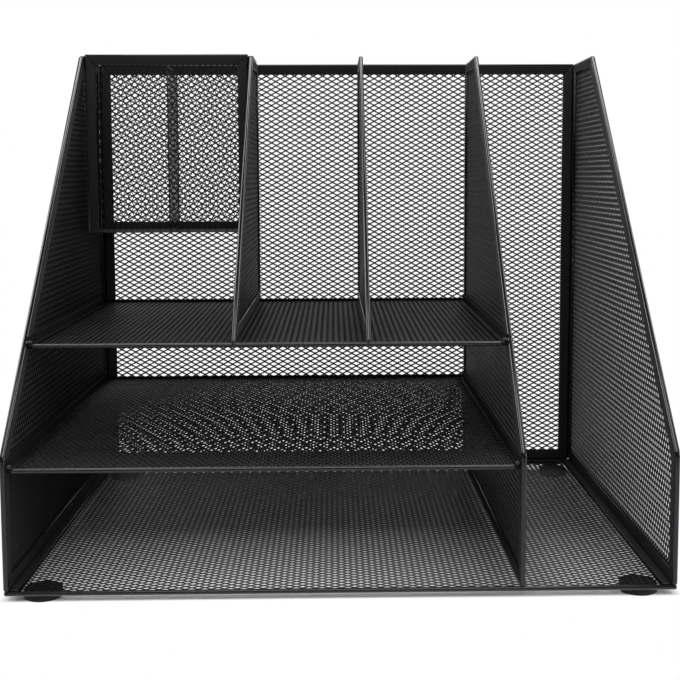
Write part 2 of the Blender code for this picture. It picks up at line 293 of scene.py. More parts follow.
def middle(node: str) -> Vector:
    """The middle of a CAD node's box."""
    low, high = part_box(node)
    return (low + high) / 2


# Finishes


class Signal:
    """A value socket of a shader graph; arithmetic on it adds Math nodes."""

    def __init__(self, graph: "Graph", socket: bpy.types.NodeSocket) -> None:
        """Wraps a socket of a graph."""
        self.graph = graph
        self.socket = socket

    def _maths(self, operation: str, first: Value, second: Value) -> "Signal":
        """Adds one Math node and hands back its result."""
        return self.graph.node("ShaderNodeMath", {"operation": operation}, {0: first, 1: second})

    def __add__(self, other: Value) -> "Signal":
        """This plus the other."""
        return self._maths("ADD", self, other)

    def __radd__(self, other: Value) -> "Signal":
        """The other plus this."""
        return self._maths("ADD", other, self)

    def __sub__(self, other: Value) -> "Signal":
        """This less the other."""
        return self._maths("SUBTRACT", self, other)

    def __rsub__(self, other: Value) -> "Signal":
        """The other less this."""
        return self._maths("SUBTRACT", other, self)

    def __mul__(self, other: Value) -> "Signal":
        """This times the other."""
        return self._maths("MULTIPLY", self, other)

    def __rmul__(self, other: Value) -> "Signal":
        """The other times this."""
        return self._maths("MULTIPLY", other, self)

    def __abs__(self) -> "Signal":
        """This without its sign."""
        return self._maths("ABSOLUTE", self, 0.0)

    def at_least(self, other: Value) -> "Signal":
        """The larger of the two."""
        return self._maths("MAXIMUM", self, other)

    def at_most(self, other: Value) -> "Signal":
        """The smaller of the two."""
        return self._maths("MINIMUM", self, other)


class Graph:
    """A node tree that is filled node by node."""

    def __init__(self, tree: bpy.types.NodeTree) -> None:
        """Starts from an empty tree."""
        self.tree = tree
        tree.nodes.clear()

    @classmethod
    def of_material(cls, name: str) -> tuple[bpy.types.Material, "Graph"]:
        """Makes a material and hands it back with its graph."""
        material = bpy.data.materials.new(name)
        material.use_nodes = True
        return material, cls(material.node_tree)

    def node(
        self, kind: str, settings: dict[str, Any], inputs: dict[Socket, Value], output: Socket = 0
    ) -> Signal:
        """Adds a node, sets it up and feeds its sockets.

        Args:
            kind: The node's type.
            settings: Its values by name.
            inputs: Values or signals by socket.
            output: The socket that is handed back.

        Returns:
            The chosen output.
        """
        item = self.tree.nodes.new(kind)
        for key, value in settings.items():
            setattr(item, key, value)
        for key, value in inputs.items():
            if isinstance(value, Signal):
                self.tree.links.new(value.socket, item.inputs[key])
            else:
                item.inputs[key].default_value = value
        return Signal(self, item.outputs[output]) if item.outputs else Signal(self, item.inputs[0])

    def place(self) -> Signal:
        """The place on the piece, in the piece's own coordinates."""
        return self.node("ShaderNodeTexCoord", {}, {}, "Object")

    def noise(self, place: Signal, size: float, detail: float) -> Signal:
        """Soft noise whose lumps have about a given size."""
        inputs = {"Vector": place, "Scale": 1 / size, "Detail": detail}
        return self.node("ShaderNodeTexNoise", {}, inputs)

    def blend(self, share: Signal, first: Colour, second: Colour) -> Signal:
        """A colour between two, by the second one's share."""
        # Sockets 6 and 7 and output 2 are the node's colours
        inputs = {"Factor": share, 6: first, 7: second}
        return self.node("ShaderNodeMix", {"data_type": "RGBA"}, inputs, 2)

    def bump(self, height: Signal, depth: float, strength: float) -> Signal:
        """A normal that is bent by a height."""
        inputs = {"Height": height, "Distance": depth, "Strength": strength}
        return self.node("ShaderNodeBump", {}, inputs)

    def surface(self, inputs: dict[Socket, Value]) -> None:
        """Closes the graph with a Principled surface that has these inputs."""
        shader = self.node("ShaderNodeBsdfPrincipled", {}, inputs)
        self.node("ShaderNodeOutputMaterial", {}, {"Surface": shader})


@dataclass(frozen=True)
class PowderCoat:
    """Satin black powder coat: fine orange peel, a little dust and paler thin spots."""

    roughness: float
    colour: Colour = (0.0055, 0.0055, 0.0057, 1.0)
    thin_colour: Colour = (0.012, 0.012, 0.0124, 1.0)
    cloud_roughness: float = 0.1
    peel_roughness: float = 0.1
    leaf_roughness: float = 0.65
    specular: float = 0.5
    peel_size: float = 0.6 * MM
    peel_depth: float = 0.03 * MM
    peel_strength: float = 0.5
    cloud_size: float = 30 * MM
    cloud_share: float = 0.55
    speck_share: float = 0.45
    speck_range: Pair = (0.62, 0.74)

    def make(self, name: str) -> bpy.types.Material:
        """Makes the material.

        Args:
            name: The material's name.

        Returns:
            The finished material.
        """
        material, graph = Graph.of_material(name)
        place = graph.place()
        peel = graph.noise(place, self.peel_size, detail=3.0)
        cloud = graph.noise(place, self.cloud_size, detail=4.0)
        low, high = self.speck_range
        speck = ((peel - low) * (1 / (high - low))).at_least(0.0).at_most(1.0)
        thin = (self.cloud_share * cloud + self.speck_share * speck).at_most(1.0)
        leaf = graph.node("ShaderNodeAttribute", {"attribute_name": LEAF}, {}, "Fac")
        rough = (
            self.roughness
            + (cloud - 0.5) * self.cloud_roughness
            + (peel - 0.5) * self.peel_roughness
            + leaf * self.leaf_roughness
        )
        inputs = {
            "Base Color": graph.blend(thin, self.colour, self.thin_colour),
            "Roughness": rough.at_most(1.0),
            "Specular IOR Level": self.specular,
            "Normal": graph.bump(peel, self.peel_depth, self.peel_strength),
        }
        graph.surface(inputs)
        return material


@dataclass(frozen=True)
class FootRubber:
    """Matt black moulded rubber with dust in its pores."""

    colour: Colour = (0.012, 0.012, 0.012, 1.0)
    dust: Colour = (0.05, 0.05, 0.048, 1.0)
    dust_share: float = 0.6
    roughness: float = 0.66
    dust_roughness: float = 0.3
    specular: float = 0.35
    film_size: float = 6.25 * MM
    pore_size: float = 0.9 * MM
    pore_depth: float = 0.06 * MM
    pore_strength: float = 0.6

    def make(self, name: str) -> bpy.types.Material:
        """Makes the material.

        Args:
            name: The material's name.

        Returns:
            The finished material.
        """
        material, graph = Graph.of_material(name)
        place = graph.place()
        scale = 1 / self.pore_size
        pores = graph.node("ShaderNodeTexVoronoi", {}, {"Vector": place, "Scale": scale})
        film = graph.noise(place, self.film_size, detail=5.0)
        inputs = {
            "Base Color": graph.blend(film * self.dust_share, self.colour, self.dust),
            "Roughness": self.roughness + film * self.dust_roughness,
            "Specular IOR Level": self.specular,
            "Normal": graph.bump(pores, self.pore_depth, self.pore_strength),
        }
        graph.surface(inputs)
        return material


class Finishes:
    """The materials of the organizer's finishes."""

    def __init__(self) -> None:
        """Makes the materials."""
        makers = {
            Finish.MESH: PowderCoat(roughness=0.42, specular=0.27),
            Finish.STRIP: PowderCoat(roughness=0.14, specular=0.45, peel_depth=0.01 * MM),
            Finish.LIP: PowderCoat(roughness=0.7, specular=0.1),
            Finish.WIRE: PowderCoat(roughness=0.26, peel_depth=0.02 * MM),
            Finish.FOOT: FootRubber(),
        }
        self.materials = {finish: maker.make(finish.title) for finish, maker in makers.items()}

    def dress(
        self, piece: Piece, finish: Finish, body: Body, replaced: Sequence[str] = ()
    ) -> None:
        """Gives a finished piece its coat and its place in the frame, and reports it.

        Args:
            piece: The finished piece.
            finish: The finish that it takes.
            body: The body that it moves with.
            replaced: The CAD nodes that it stands for.
        """
        piece.data.materials.clear()
        piece.data.materials.append(self.materials[finish])
        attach(piece, body.value)
        if replaced:
            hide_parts(*replaced)
        LOG.info("%s: %d faces, on %s", piece.name, len(piece.data.polygons), body.value)


class NodePiece:
    """A piece that stands for one CAD node."""

    node: str
    finish: Finish
    body: Body = Body.FRAME

    def build(self) -> Piece:
        """Models the piece in its place; each kind has its own way."""
        raise NotImplementedError

    def dress(self, finishes: Finishes) -> None:
        """Builds the piece and gives it its coat."""
        finishes.dress(self.build(), self.finish, self.body, [self.node])


# Sheets of expanded mesh


@dataclass(frozen=True)
class Weave:
    """Expanded mesh: one sheet of steel, slit and pulled open into diamonds."""

    long_pitch: float = 7.8 * MM
    short_pitch: float = 4.4 * MM
    strand: float = 1.1 * MM
    thickness: float = 0.88 * MM
    short_blunt: float = 0.94
    lean: float = -18.0
    ridge_share: float = 0.999

    @property
    def pitch(self) -> np.ndarray:
        """The pitch the long way and the short way."""
        return np.array((self.long_pitch, self.short_pitch))

    def cell(self, name: str) -> Piece:
        """Models one opening with the half strands round it, at the origin.

        The strands have a ridge on both faces and meet the opening at a thin edge, which leans as
        the pulled steel does.

        Args:
            name: The piece's name.

        Returns:
            The cell, its long way along X, still open where its neighbours join on.
        """
        half_long, half_short = self.pitch / 2
        clear_bench()
        bpy.ops.mesh.primitive_circle_add(vertices=4, radius=1.0, fill_type="NGON")
        piece = made(name)
        with editing(piece, Pick.FACES):
            pick_all()
            bpy.ops.transform.resize(value=(half_long, half_short, 1), center_override=(0, 0, 0))
            bpy.ops.mesh.inset(thickness=self.strand / 2, use_even_offset=True, use_boundary=True)
            bpy.ops.mesh.subdivide(number_cuts=1)
            bpy.ops.mesh.delete(type="FACE")
            pick_all()
            bpy.ops.mesh.quads_convert_to_tris(ngon_method="BEAUTY")

            def on_ridge(place: Vector, _: Vector) -> bool:
                """Whether a corner lies on the line between this opening and the next."""
                return abs(place.x) / half_long + abs(place.y) / half_short > self.ridge_share

            def at_opening(place: Vector, normal: Vector) -> bool:
                """Whether a corner lies on the edge of the opening."""
                return not on_ridge(place, normal)

            def blunt(place: Vector, normal: Vector) -> bool:
                """Whether a corner is one of the opening's two blunt ones."""
                return abs(place.x) < MERGE and at_opening(place, normal)

            pick(Pick.CORNERS, blunt)
            bpy.ops.transform.resize(value=(1, self.short_blunt, 1), center_override=(0, 0, 0))
            pick(Pick.CORNERS, on_ridge)
            bpy.ops.transform.translate(value=(0, 0, self.thickness / 2))
            pick_all()
            bpy.ops.mesh.duplicate()
            bpy.ops.transform.resize(value=(1, 1, -1), center_override=(0, 0, 0))
            merge_doubles()
            pick(Pick.CORNERS, at_opening)
            bpy.ops.transform.rotate(
                value=math.radians(self.lean), orient_axis="X", center_override=(0, 0, 0)
            )
        return piece

    def sheet(self, name: str, outline: np.ndarray) -> Piece:
        """Lays whole cells side by side inside an outline and closes the rim.

        Args:
            name: The piece's name.
            outline: Corners of a convex outline, counter-clockwise, long way first.

        Returns:
            The sheet, in the plane of the outline at height nought.
        """
        piece = self.cell(name)
        start = outline.min(axis=0) + self.pitch / 2
        count = np.ceil(np.ptp(outline, axis=0) / self.pitch).astype(int)
        steps = (
            ((*self.pitch / 2, 0), 2),
            ((self.long_pitch, 0, 0), int(count[0])),
            ((0, self.short_pitch, 0), int(count[1])),
        )
        for offset, number in steps:
            finish_with(
                piece,
                "ARRAY",
                count=number,
                use_relative_offset=False,
                use_constant_offset=True,
                constant_offset_displace=offset,
            )
        self._trim(piece, outline - start)

        def on_upper_rim(edge: bmesh.types.BMEdge) -> bool:
            """Whether an edge is an open one of the upper face."""
            return edge.is_boundary and all(corner.co.z > 0 for corner in edge.verts)

        with editing(piece, Pick.CORNERS):
            merge_doubles()
            choose(Pick.EDGES, lambda shape: filter(on_upper_rim, shape.edges))
            bpy.ops.mesh.extrude_edges_move(
                TRANSFORM_OT_translate={"value": (0, 0, -self.thickness)}
            )
            pick_all()
            bpy.ops.transform.translate(value=(start[0], start[1], 0))
        make_whole(piece)
        return piece

    def _trim(self, piece: Piece, outline: np.ndarray) -> None:
        """Deletes every cell that isn't wholly inside an outline.

        Args:
            piece: The cells, the first one centred at the origin.
            outline: Corners of a convex outline, counter-clockwise.
        """
        mesh = piece.data
        centres = np.empty(len(mesh.polygons) * 3)
        mesh.polygons.foreach_get("center", centres)
        across = centres.reshape(-1, 3)[:, :2] / self.pitch
        rising = np.rint(across[:, 0] + across[:, 1])
        falling = np.rint(across[:, 0] - across[:, 1])
        half = self.pitch / 2
        cells = np.column_stack((rising + falling, rising - falling)) * half
        outside = np.zeros(len(cells), dtype=bool)
        slack = 3 * MERGE
        for first, second in zip(outline, np.roll(outline, -1, axis=0)):
            along = second - first
            inward = np.array((-along[1], along[0])) / np.hypot(*along)
            reach = np.max(np.abs(inward) * half)
            outside |= (cells - first) @ inward < reach - slack
        with editing(piece, Pick.FACES):
            choose(Pick.FACES, lambda shape: compress(shape.faces, outside))
            bpy.ops.mesh.delete(type="FACE")


FLOOR_WEAVE = Weave(thickness=0.76 * MM)
TRAY_WEAVE = Weave(thickness=1.2 * MM)
TURNED_WEAVE = Weave(lean=18.0)


def hull(points: np.ndarray) -> np.ndarray:
    """The convex outline of flat points, counter-clockwise, without corners on straight runs.

    Args:
        points: One row for each point.

    Returns:
        The outline's corners, from the leftmost.
    """
    ordered = sorted({tuple(np.round(point, 5)) for point in points})

    def half(run: Sequence[Pair]) -> list[Pair]:
        """One side of the outline."""
        side: list[Pair] = []
        for point in run:
            while len(side) > 1:
                (ax, ay), (bx, by) = side[-2], side[-1]
                turn = (bx - ax) * (point[1] - ay) - (by - ay) * (point[0] - ax)
                if turn > MERGE * math.dist(side[-2], point):
                    break
                side.pop()
            side.append(point)
        return side

    return np.array(half(ordered)[:-1] + half(ordered[::-1])[:-1])


@dataclass
class MeshSheet(NodePiece):
    """One sheet of expanded mesh, cut to its CAD node's outline."""

    finish = Finish.MESH
    node: str
    lay: Lay
    weave: Weave = Weave()
    body: Body = Body.FRAME
    front_wire: Optional[str] = None
    rim: float = 0.0
    span: Optional[Pair] = None
    rim_thickness: float = 0.9 * MM
    rim_rounding: float = 0.3 * MM
    rounding_angle: float = 30.0
    soft_angle: float = 75.0

    def build(self) -> Piece:
        """Models the sheet in its place.

        Returns:
            The sheet.
        """
        long_way, short_way, normal = self.lay.axes
        points = node_points(self.node)
        flat = np.column_stack((points @ np.array(long_way), points @ np.array(short_way)))
        outline = hull(flat)
        if self.front_wire is not None:
            column = 0 if long_way.y else 1
            front = middle(self.front_wire).y
            outline[outline[:, column] < outline[:, column].min() + MM, column] = front
        if self.span is not None:
            column = 0 if long_way.x else 1
            left = outline[:, column] < outline[:, column].mean()
            outline[:, column] = np.where(left, *self.span)
        sheet = self.weave.sheet(f"dressed_{self.node}", outline)
        if self.rim:
            join(sheet, self._rim(outline))
        turn = Matrix((long_way, short_way, normal)).transposed().to_4x4()
        sheet.matrix_world = Matrix.Translation(normal * middle(self.node).dot(normal)) @ turn
        take_up(sheet)
        bpy.ops.object.transform_apply(location=True, rotation=True, scale=True)
        smooth(sheet, self.soft_angle)
        return sheet

    def _rim(self, outline: np.ndarray) -> Piece:
        """A plain flat rim round the sheet's outline.

        Args:
            outline: The sheet's corners, a rectangle.

        Returns:
            The rim, in the sheet's own plane.
        """
        low, high = outline.min(axis=0), outline.max(axis=0)
        size, place = high - low, (high + low) / 2
        clear_bench()
        bpy.ops.mesh.primitive_plane_add(size=1.0, location=(place[0], place[1], 0))
        bpy.context.object.scale = (size[0], size[1], 1)
        piece = made("rim")
        with editing(piece, Pick.FACES):
            pick_all()
            bpy.ops.mesh.inset(thickness=self.rim, use_even_offset=True, use_boundary=True)
            bpy.ops.mesh.delete(type="FACE")
        finish_with(piece, "SOLIDIFY", thickness=self.rim_thickness, offset=0.0)
        round_edges(piece, self.rim_rounding, steps=2, degrees=self.rounding_angle)
        make_whole(piece)
        return piece


# Edge pieces


@dataclass
class FoldedEdge(NodePiece):
    """A strip or lip of thin sheet steel, with its cut edges broken and its bend softened."""

    node: str
    body: Body = Body.FRAME
    coat: float = 0.17 * MM
    edge_break: float = 0.45 * MM
    break_steps: int = 3
    break_angle: float = 50.0
    soft_angle: float = 48.0
    finish: Finish = Finish.STRIP
    lowered: float = 0.0
    least_leaf: float = 3 * MM
    least_plumb: float = 20 * MM
    front_slack: float = 0.2 * MM
    bend_offset: float = 2.2 * MM
    bend_steps: int = 3
    bend_reach: float = 14 * MM
    bend_slack: float = 0.35 * MM
    bend_tilt: float = 0.12

    def build(self) -> Piece:
        """Models the edge piece in its place.

        Returns:
            The edge piece.
        """
        piece = copy_of(self.node)
        nose = self._nose()
        if nose is not None:
            self._soften(piece, *nose)
        if self.lowered:
            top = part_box(self.node)[1].z
            with editing(piece, Pick.CORNERS):
                pick(Pick.CORNERS, lambda place, _: place.z > top - MM)
                bpy.ops.transform.translate(value=(0, 0, -self.lowered))
        with editing(piece, Pick.FACES):
            pick_all()
            bpy.ops.transform.shrink_fatten(value=self.coat, use_even_offset=True)
        round_edges(piece, self.edge_break, self.break_steps, self.break_angle)
        smooth(piece, self.soft_angle)
        self._mark_leaves(piece)
        return piece

    def _mark_leaves(self, piece: Piece) -> None:
        """Marks the flat leaves, whose coat lies drier than on the bends."""
        mesh = piece.data
        marks = []
        for face in mesh.polygons:
            places = [mesh.vertices[index].co for index in face.vertices]
            longest = max((a - b).length for a, b in zip(places, places[1:] + places[:1]))
            marks.append(float(face.area / longest > self.least_leaf))
        mesh.attributes.new(LEAF, "FLOAT", "FACE").data.foreach_set("value", marks)

    def _nose(self) -> Optional[tuple[Vector, Vector]]:
        """Finds the bend of a front strip that runs up and then slants back.

        Returns:
            The bend's outer corner and the normal of its plane, or None for a straight strip.
        """
        if not self.node.endswith("front_strip"):
            return None
        points = node_points(self.node)
        low, high = points.min(axis=0), points.max(axis=0)
        front = points[points[:, 1] < low[1] + self.front_slack]
        nose = Vector((middle(self.node).x, low[1], front[:, 2].max()))
        if nose.z < low[2] + self.least_plumb:
            return None
        slant = (Vector((nose.x, high[1], high[2])) - nose).normalized()
        return nose, (slant + Vector((0, 0, 1))).normalized()

    def _soften(self, piece: Piece, nose: Vector, normal: Vector) -> None:
        """Rounds the bend of a front strip.

        Args:
            piece: The strip.
            nose: The bend's outer corner.
            normal: The normal of the plane through the bend.
        """

        def at_bend(place: Vector, direction: Vector) -> bool:
            """Whether an edge lies in the bend's plane."""
            away = place - nose
            return (
                away.length < self.bend_reach
                and abs(away.dot(normal)) < self.bend_slack
                and abs(direction.dot(normal)) < self.bend_tilt
            )

        with editing(piece, Pick.EDGES):
            pick(Pick.EDGES, at_bend)
            bpy.ops.mesh.bevel(offset=self.bend_offset, segments=self.bend_steps, profile=0.5)


@dataclass
class FrontWire(NodePiece):
    """A round wire along a front edge, its ends rounded or turned up."""

    finish = Finish.WIRE
    node: str
    turned_up: bool = False
    sides: int = 24
    bend_steps: int = 5
    bend_degrees: float = 38.0
    bend_radius: float = 1.9 * MM
    end_run: float = 3.0 * MM
    least_end: float = 0.2 * MM
    end_rounding: float = 0.82
    end_steps: int = 5
    soft_angle: float = 40.0

    def build(self) -> Piece:
        """Models the wire in its place.

        Returns:
            The wire.
        """
        low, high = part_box(self.node)
        radius = (high.y - low.y) / 2
        centre = Vector(((low.x + high.x) / 2, (low.y + high.y) / 2, low.z + radius))
        length = high.x - low.x - (2 * self.end_run if self.turned_up else 0.0)
        clear_bench()
        bpy.ops.mesh.primitive_cylinder_add(
            vertices=self.sides,
            radius=radius,
            depth=length,
            location=centre,
            rotation=(0, math.pi / 2, 0),
        )
        piece = made(f"dressed_{self.node}")
        with editing(piece, Pick.FACES):
            for side in (-1, 1):
                if self.turned_up:
                    self._turn_up(side, centre, length / 2, radius)
                self._round_end(side, radius)
        make_whole(piece)
        smooth(piece, self.soft_angle)
        return piece

    def _turn_up(self, side: int, centre: Vector, half: float, radius: float) -> None:
        """Bends one end of the open wire upwards.

        Args:
            side: -1 for the left end, 1 for the right.
            centre: The wire's middle.
            half: Half the straight length.
            radius: The wire's radius.
        """
        bend = self.bend_radius
        angle = math.radians(self.bend_degrees)
        tip = centre.x + side * half
        pick(
            Pick.FACES,
            lambda place, normal: side * normal.x > FACING and abs(place.x - tip) < MM,
        )
        bpy.ops.mesh.spin(
            steps=self.bend_steps,
            angle=-side * angle,
            center=(tip, centre.y, centre.z + bend),
            axis=(0, 1, 0),
        )
        left = self.end_run - bend * math.sin(angle) - radius * math.cos(angle)
        left = max(left, self.least_end)
        bpy.ops.mesh.extrude_region_move(
            TRANSFORM_OT_translate={
                "value": (side * left * math.cos(angle), 0, left * math.sin(angle))
            }
        )

    def _round_end(self, side: int, radius: float) -> None:
        """Rounds the end face that lies furthest outwards on the open wire.

        Args:
            side: -1 for the left end, 1 for the right.
            radius: The wire's radius.
        """

        def end_face(shape: Shape) -> list[bmesh.types.BMFace]:
            """The whole round face at the end."""
            round_faces = [face for face in shape.faces if len(face.verts) == self.sides]
            return [max(round_faces, key=lambda face: side * face.calc_center_median().x)]

        choose(Pick.FACES, end_face)
        width = radius * self.end_rounding
        bpy.ops.mesh.bevel(offset=width, segments=self.end_steps, profile=0.5)


@dataclass
class Foot(NodePiece):
    """A moulded rubber disc under a corner, with a collar above and a hollow below."""

    finish = Finish.FOOT
    node: str
    sides: int = 56
    tread_share: float = 0.34
    hollow_slope: float = 1.2 * MM
    hollow_depth: float = 0.9 * MM
    collar_width: float = 1.4 * MM
    collar_slope: float = 0.7 * MM
    collar_depth: float = 0.5 * MM
    rounding: float = 1.0 * MM
    rounding_steps: int = 4
    rounding_angle: float = 60.0
    soft_angle: float = 35.0

    def build(self) -> Piece:
        """Models the foot in its place.

        Returns:
            The foot.
        """
        low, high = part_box(self.node)
        centre, radius = (low + high) / 2, (high.x - low.x) / 2
        clear_bench()
        bpy.ops.mesh.primitive_cylinder_add(
            vertices=self.sides, radius=radius, depth=high.z - low.z, location=centre
        )
        piece = made(f"dressed_{self.node}")
        with editing(piece, Pick.FACES):
            pick(Pick.FACES, lambda _, normal: normal.z < -FACING)
            bpy.ops.mesh.inset(thickness=radius * self.tread_share)
            bpy.ops.mesh.inset(thickness=self.hollow_slope)
            bpy.ops.transform.translate(value=(0, 0, self.hollow_depth))
            pick(Pick.FACES, lambda _, normal: normal.z > FACING)
            bpy.ops.mesh.inset(thickness=self.collar_width)
            bpy.ops.mesh.inset(thickness=self.collar_slope)
            bpy.ops.transform.translate(value=(0, 0, -self.collar_depth))
        round_edges(piece, self.rounding, self.rounding_steps, self.rounding_angle)
        smooth(piece, self.soft_angle)
        return piece


@dataclass
class Weld:
    """A small coated bead of weld where two pieces meet."""

    name: str
    place: Vector
    seed: int
    size: Triple = (1.8 * MM, 1.4 * MM, 1.4 * MM)
    lumps: float = 0.22

    def build(self) -> Piece:
        """Models the bead in its place.

        Returns:
            The bead.
        """
        clear_bench()
        bpy.ops.mesh.primitive_ico_sphere_add(subdivisions=3, radius=1.0)
        piece = made(self.name)
        with editing(piece, Pick.CORNERS):
            pick_all()
            bpy.ops.transform.vertex_random(
                offset=self.lumps, uniform=0.3, normal=0.7, seed=self.seed
            )
            bpy.ops.mesh.vertices_smooth(factor=0.6, repeat=3)
            bpy.ops.transform.resize(value=self.size, center_override=(0, 0, 0))
            bpy.ops.transform.translate(value=self.place)
        take_up(piece)
        bpy.ops.object.shade_smooth()
        return piece

    def dress(self, finishes: Finishes) -> None:
        """Builds the bead and gives it the wires' coat."""
        finishes.dress(self.build(), Finish.WIRE, Body.FRAME)


# Sub-assemblies


@dataclass
class Base:
    """The mesh floor with its front wire, edge strips and four feet."""

    sides: tuple[str, ...] = ("left", "right", "back")
    corners: tuple[str, ...] = ("front_left", "front_right", "back_left", "back_right")

    def dress(self, finishes: Finishes) -> None:
        """Builds and coats the base's pieces."""
        wire = "base_front_wire"
        MeshSheet("base_mesh", Lay.FLOOR_ACROSS, FLOOR_WEAVE, front_wire=wire).dress(finishes)
        FrontWire(wire).dress(finishes)
        for side in self.sides:
            FoldedEdge(f"base_{side}_strip").dress(finishes)
        for corner in self.corners:
            Foot(f"foot_{corner}").dress(finishes)


@dataclass
class FramedPanel:
    """A flat mesh panel in folded strips: the back, an upright or a divider."""

    name: str
    lay: Lay
    sides: tuple[str, ...]
    weave: Weave = Weave()

    def dress(self, finishes: Finishes) -> None:
        """Builds and coats the panel's pieces."""
        MeshSheet(f"{self.name}_mesh", self.lay, self.weave).dress(finishes)
        for side in self.sides:
            FoldedEdge(f"{self.name}_{side}_strip").dress(finishes)


@dataclass
class Divider(FramedPanel):
    """A divider of the upper tray, welded to the tray's front wire."""

    weld_inset: float = 0.7 * MM
    weld_rise: float = 3.4 * MM
    weld_size: Triple = (1.3 * MM, 1.0 * MM, 1.8 * MM)
    weld_seed: int = 6

    def dress(self, finishes: Finishes) -> None:
        """Builds and coats the divider's pieces and its weld."""
        super().dress(finishes)
        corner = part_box("upper_tray_front_wire")[0]
        across = middle(f"{self.name}_mesh").x
        place = Vector((across, corner.y + self.weld_inset, corner.z + self.weld_rise))
        Weld(f"{self.name}_weld", place, self.weld_seed, self.weld_size).dress(finishes)


@dataclass
class Tray:
    """A paper tray: mesh with turned-up lips and a front wire that is welded to the uprights."""

    name: str
    lay: Lay
    weave: Weave
    rim: float = 1.2 * MM
    lip_inset: float = 0.9 * MM
    back_lip_drop: float = 3.5 * MM
    weld_inset: float = 0.9 * MM
    weld_drop: float = 1.3 * MM

    def dress(self, finishes: Finishes) -> None:
        """Builds and coats the tray's pieces."""
        wire = f"{self.name}_front_wire"
        left, right = (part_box(f"{self.name}_{side}_lip") for side in ("left", "right"))
        MeshSheet(
            f"{self.name}_mesh",
            self.lay,
            self.weave,
            front_wire=wire,
            rim=self.rim,
            span=(left[0].x + self.lip_inset, right[1].x - self.lip_inset),
        ).dress(finishes)
        FrontWire(wire, turned_up=True).dress(finishes)
        for side, lowered in (("left", 0.0), ("right", 0.0), ("back", self.back_lip_drop)):
            lip = FoldedEdge(f"{self.name}_{side}_lip", finish=Finish.LIP, lowered=lowered)
            lip.dress(finishes)
        low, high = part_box(wire)
        ends = {"left": low.x + self.weld_inset, "right": high.x - self.weld_inset}
        for seed, (side, end) in enumerate(ends.items(), start=2):
            place = Vector((end, (low.y + high.y) / 2, high.z - self.weld_drop))
            Weld(f"{self.name}_{side}_weld", place, seed).dress(finishes)


@dataclass
class PenPocket:
    """The lift-out pen pocket: a bent mesh front and floor, a partition, strips and hangers."""

    weave: Weave = Weave(strand=0.66 * MM, thickness=0.5 * MM)
    partition_weave: Weave = Weave(strand=0.6 * MM, thickness=0.28 * MM, lean=-6.0)
    partition_rim: float = 1.3 * MM
    coat: float = 0.1 * MM
    edges: tuple[str, ...] = ("top_strip", "left_strip", "right_strip", "back_lip")
    hangers: tuple[str, ...] = ("left_hanger", "right_hanger")

    def dress(self, finishes: Finishes) -> None:
        """Builds and coats the pocket's pieces."""
        sheets = (
            ("front", Lay.WALL_UPRIGHT, self.weave, 0.0),
            ("floor", Lay.FLOOR_INWARD, self.weave, 0.0),
            ("partition", Lay.SIDE_UPRIGHT, self.partition_weave, self.partition_rim),
        )
        for name, lay, weave, rim in sheets:
            MeshSheet(f"pocket_{name}_mesh", lay, weave, Body.POCKET, rim=rim).dress(finishes)
        for edge in self.edges + self.hangers:
            FoldedEdge(f"pocket_{edge}", Body.POCKET, self.coat).dress(finishes)


# The studio


@dataclass(frozen=True)
class PhotoCamera:
    """The photograph's camera, fitted to the model; places in metres, angles in radians."""

    focal: float = 1114.5
    yaw: float = -0.0189
    pitch: float = 0.092
    roll: float = 0.0035
    place: Triple = (-0.004, -0.7914, 0.2516)
    centre: Pair = (354.9, 279.0)
    picture: float = 680.0
    sensor: float = 36.0
    clip: Pair = (0.01, 50.0)

    def build(self) -> None:
        """Makes the camera and sets it as the scene's."""
        lens = bpy.data.cameras.new("photograph")
        lens.sensor_width = self.sensor
        lens.lens = self.focal / self.picture * self.sensor
        lens.shift_x = (self.picture / 2 - self.centre[0]) / self.picture
        lens.shift_y = (self.centre[1] - self.picture / 2) / self.picture
        lens.clip_start, lens.clip_end = self.clip
        camera = bpy.data.objects.new("photograph", lens)
        bpy.context.scene.collection.objects.link(camera)
        turn = (
            Matrix.Rotation(self.yaw, 3, "Z")
            @ Matrix.Rotation(-self.pitch, 3, "X")
            @ Matrix.Rotation(self.roll, 3, "Y")
        )
        right, forward, up = turn.col
        camera.matrix_world = Matrix.Translation(self.place) @ Matrix(
            (right, up, -forward)
        ).transposed().to_4x4()
        bpy.context.scene.camera = camera


@dataclass(frozen=True)
class SoftLight:
    """A square or oblong studio light, aimed at the middle of the object."""

    name: str
    place: Triple
    size: Pair
    watts: float
    aim: Triple = (0.0, 0.0, 0.15)

    def build(self) -> None:
        """Makes the light."""
        lamp = bpy.data.lights.new(self.name, "AREA")
        lamp.shape = "RECTANGLE"
        lamp.size, lamp.size_y = self.size
        lamp.energy = self.watts
        light = bpy.data.objects.new(self.name, lamp)
        bpy.context.scene.collection.objects.link(light)
        light.location = self.place
        towards = Vector(self.aim) - Vector(self.place)
        light.rotation_euler = towards.to_track_quat("-Z", "Y").to_euler()


@dataclass(frozen=True)
class FloorBay:
    """The floor between two uprights, where the sweep's painted light is brightest in the middle.
    """

    centre: float
    half_width: float
    dimmed: float = 0.0


